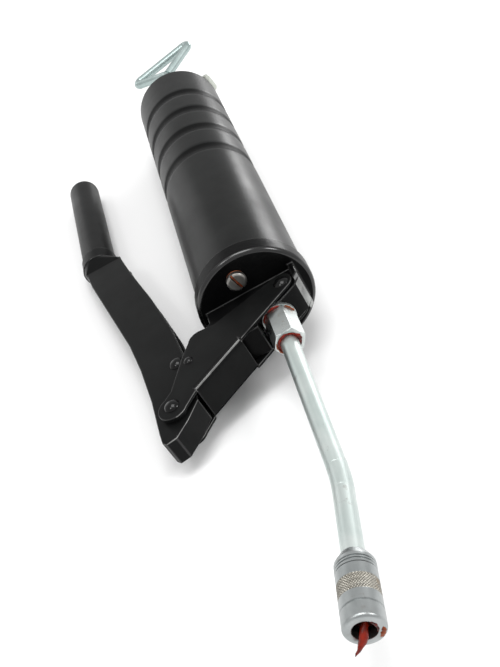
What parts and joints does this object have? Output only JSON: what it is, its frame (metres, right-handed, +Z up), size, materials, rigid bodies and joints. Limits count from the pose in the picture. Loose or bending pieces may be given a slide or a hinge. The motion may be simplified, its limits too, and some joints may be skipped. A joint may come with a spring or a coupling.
{
  "type": "lever grease gun",
  "caption": "Hand-pumped lever grease gun: barrel with rolled grip grooves, slotted-link pump lever, bent delivery pipe with jaw coupler, and a pull rod with loop handle.",
  "frame": {"origin": "middle of the bounding box's base, on the surface the gun lies on", "axes": "+X along the barrel towards the nozzle, +Y away from the lever, +Z up as the gun lies on its skirt, rear rim and grip"},
  "size_m": [0.5538, 0.121, 0.06],
  "materials": {
    "black_paint": "satin black enamel",
    "zinc_plate": "bright zinc plating, faint blue-green cast",
    "bright_steel": "plain bright steel",
    "hard_steel": "hardened dark steel",
    "black_rubber": "nitrile rubber, matte",
    "fibre": "red fibre"
  },
  "bodies": {
    "gun": {"head_casting": "black_paint", "barrel_tube": "black_paint", "barrel_end_cap": "black_paint", "barrel_gasket": "black_rubber", "plunger_packing": "black_rubber", "check_spring": "bright_steel", "outlet_washer": "zinc_plate", "outlet_adapter": "zinc_plate", "pipe_gland": "zinc_plate", "delivery_pipe": "zinc_plate", "coupler_body": "zinc_plate", "coupler_sleeve": "zinc_plate", "coupler_spring": "bright_steel", "vent_washer": "fibre", "link_pivot_pin": "black_paint", "follower_spring": "bright_steel", "lock_staple": "black_paint", "lock_spring": "bright_steel"},
    "vent_screw": {"vent_screw": "zinc_plate"},
    "check_ball": {"check_ball": "bright_steel"},
    "link": {"link_channel": "black_paint", "fulcrum_pin": "black_paint", "fulcrum_washers": "bright_steel", "stop_rivets": "black_paint"},
    "lever": {"lever_channel": "black_paint", "grip_tube": "black_paint", "plunger_pin": "black_paint"},
    "plunger": {"pump_plunger": "bright_steel"},
    "rod": {"follower_rod": "zinc_plate", "follower_nut": "bright_steel", "follower_front_plate": "bright_steel", "follower_cup": "black_rubber", "follower_back_plate": "bright_steel"},
    "lock_plate": {"rod_lock_plate": "zinc_plate"},
    "jaws": {"coupler_jaws": "hard_steel", "coupler_seal": "black_rubber"}
  },
  "joints": [
    {"name": "link_pivot", "type": "hinge", "parent": "gun", "child": "link", "pos_m": [0.08803, 0.04499, 0.03362], "axis": [0, -0.2416, 0.9704], "range_deg": [-2, 0]},
    {"name": "lever_fulcrum", "type": "hinge", "parent": "link", "child": "lever", "pos_m": [0.1316, -0.02012, 0.01742], "axis": [0, -0.2416, 0.9704], "range_deg": [0, 40]},
    {"name": "plunger_stroke", "type": "slide", "parent": "gun", "child": "plunger", "axis": [0, 0.9704, 0.2416], "range_m": [-0.0235, 0]},
    {"name": "follower_rod_slide", "type": "slide", "parent": "gun", "child": "rod", "axis": [-1, 0, 0], "range_m": [-0.062, 0.11], "deforming": ["follower_spring"]},
    {"name": "rod_lock", "type": "hinge", "parent": "gun", "child": "lock_plate", "pos_m": [-0.17627, 0.01657, 0.02426], "axis": [0, -0.3823, 0.924], "range_deg": [-4.5, 0], "stiffness_Nm_per_rad": 0.3, "springref_deg": 11.46, "deforming": ["lock_spring"]},
    {"name": "check_ball_lift", "type": "slide", "parent": "gun", "child": "check_ball", "axis": [1, 0, 0], "range_m": [0, 0.0015], "stiffness_N_per_m": 100, "springref_m": -0.003, "deforming": ["check_spring"]},
    {"name": "jaw_travel", "type": "slide", "parent": "gun", "child": "jaws", "axis": [0.9793, -0.1771, 0.0981], "range_m": [-0.0015, 0], "stiffness_N_per_m": 500, "springref_m": 0.004, "deforming": ["coupler_spring"]},
    {"name": "vent_screw_turn", "type": "hinge", "parent": "gun", "child": "vent_screw", "pos_m": [0.07853, 0.02288, 0.04667], "axis": [1, 0, 0], "continuous": true}
  ],
  "couplings": [
    {"joint": "link_pivot", "follows": "lever_fulcrum", "ratio": -0.0425},
    {"joint": "plunger_stroke", "follows": "lever_fulcrum", "m_per_rad": -0.0328}
  ]
}
